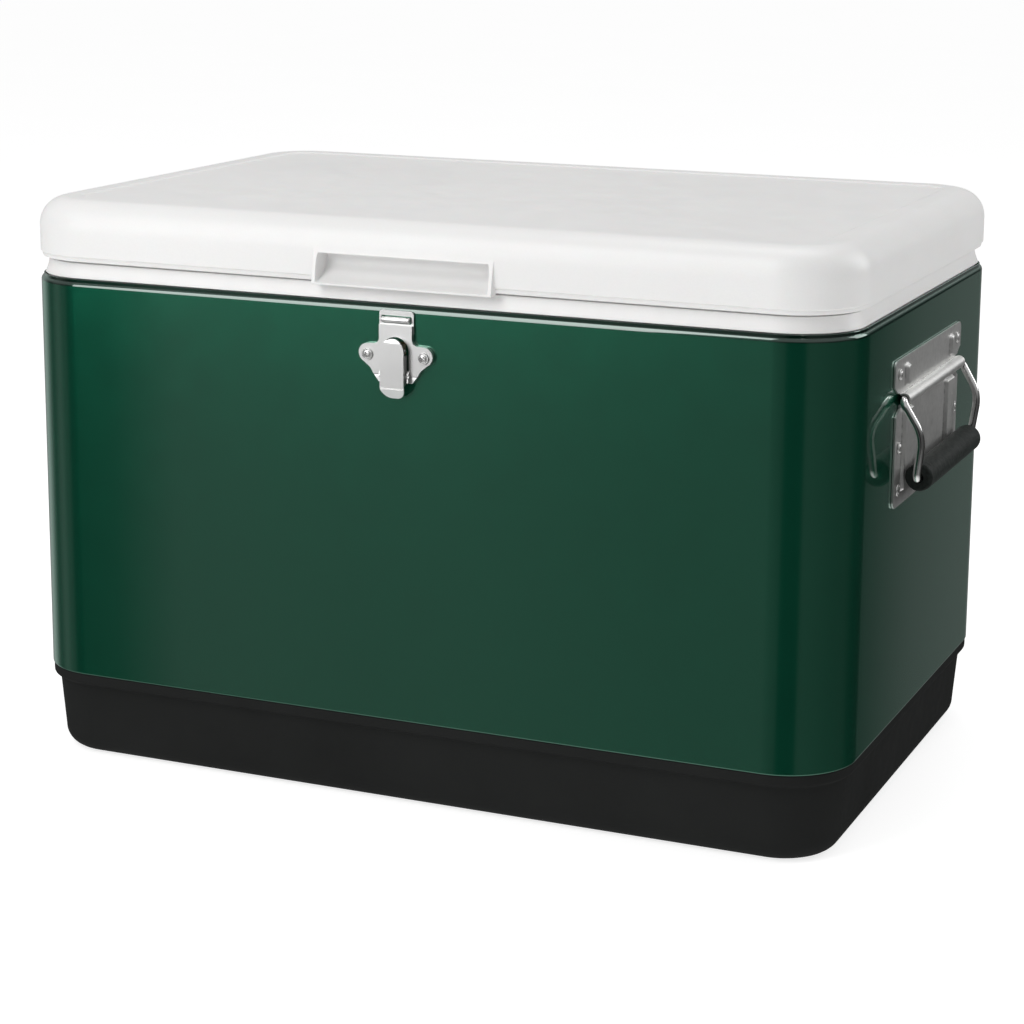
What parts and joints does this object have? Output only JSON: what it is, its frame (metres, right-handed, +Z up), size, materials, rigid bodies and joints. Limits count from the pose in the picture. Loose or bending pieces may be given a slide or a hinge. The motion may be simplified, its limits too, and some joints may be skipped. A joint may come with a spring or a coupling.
{
  "type": "steel-belted cooler chest",
  "caption": "Insulated chest cooler with a painted steel belt, moulded base pan, hinged white lid, sprung front latch and a bail handle on each end",
  "frame": {"origin": "On the ground under the middle of the chest, at the bottom centre of the bounding box.", "axes": "+X along the chest's length towards its right end, -Y towards the latch side, +Z up."},
  "size_m": [0.658, 0.418, 0.4065],
  "materials": {
    "green_enamel": "glossy dark green baked enamel on sheet steel",
    "white_plastic": "satin-gloss white moulded plastic",
    "black_plastic": "fine-textured black moulded plastic",
    "foam": "rigid insulating foam, hidden inside",
    "satin_steel": "pressed stainless steel, satin, with bright edges",
    "bright_steel": "bright plated steel with soft reflections",
    "black_rubber": "matte black moulded grip"
  },
  "bodies": {
    "chest": {"base_pan": "black_plastic", "belt_seam": "green_enamel", "drain_spout": "black_plastic", "foam_body": "foam", "handle_plate_left": "satin_steel", "handle_plate_right": "satin_steel", "handle_screw_left_bottom_back": "satin_steel", "handle_screw_left_bottom_front": "satin_steel", "handle_screw_left_middle_back": "satin_steel", "handle_screw_left_middle_front": "satin_steel", "handle_screw_left_top_back": "satin_steel", "handle_screw_left_top_front": "satin_steel", "handle_screw_right_bottom_back": "satin_steel", "handle_screw_right_bottom_front": "satin_steel", "handle_screw_right_middle_back": "satin_steel", "handle_screw_right_middle_front": "satin_steel", "handle_screw_right_top_back": "satin_steel", "handle_screw_right_top_front": "satin_steel", "hinge_body_leaf_left": "satin_steel", "hinge_body_leaf_right": "satin_steel", "hinge_body_screw_left_1": "satin_steel", "hinge_body_screw_left_2": "satin_steel", "hinge_body_screw_right_1": "satin_steel", "hinge_body_screw_right_2": "satin_steel", "hinge_pin_left": "satin_steel", "hinge_pin_right": "satin_steel", "inner_liner": "white_plastic", "latch_guide_roll": "bright_steel", "latch_pin": "bright_steel", "latch_plate": "bright_steel", "latch_screw_left": "bright_steel", "latch_screw_right": "bright_steel", "latch_spring": "bright_steel", "steel_belt": "green_enamel"},
    "lid": {"hinge_lid_leaf_left": "satin_steel", "hinge_lid_leaf_right": "satin_steel", "hinge_lid_screw_left_1": "satin_steel", "hinge_lid_screw_left_2": "satin_steel", "hinge_lid_screw_right_1": "satin_steel", "hinge_lid_screw_right_2": "satin_steel", "lid_foam": "foam", "lid_liner": "white_plastic", "lid_shell": "white_plastic", "lid_striker": "bright_steel"},
    "lever": {"latch_lever": "bright_steel"},
    "right_handle": {"bail_right": "satin_steel", "grip_right": "black_rubber"},
    "left_handle": {"bail_left": "satin_steel", "grip_left": "black_rubber"},
    "plug": {"drain_plug": "black_plastic"}
  },
  "joints": [
    {"name": "lid_hinge", "type": "hinge", "parent": "chest", "child": "lid", "pos_m": [0, 0.205, 0.3636], "axis": [-1, 0, 0], "range_deg": [0, 105]},
    {"name": "latch_lever_pivot", "type": "hinge", "parent": "chest", "child": "lever", "pos_m": [-0.0035, -0.2045, 0.305], "axis": [1, 0, 0], "range_deg": [0, 7], "stiffness_Nm_per_rad": 0.4, "springref_deg": -14.32},
    {"name": "right_handle_swing", "type": "hinge", "parent": "chest", "child": "right_handle", "pos_m": [0.3093, 0, 0.2925], "axis": [0, -1, 0], "range_deg": [0, 140]},
    {"name": "left_handle_swing", "type": "hinge", "parent": "chest", "child": "left_handle", "pos_m": [-0.3093, 0, 0.2925], "axis": [0, 1, 0], "range_deg": [0, 140]},
    {"name": "drain_plug_pull", "type": "slide", "parent": "chest", "child": "plug", "axis": [-1, 0, 0], "range_m": [0, 0.03]}
  ]
}
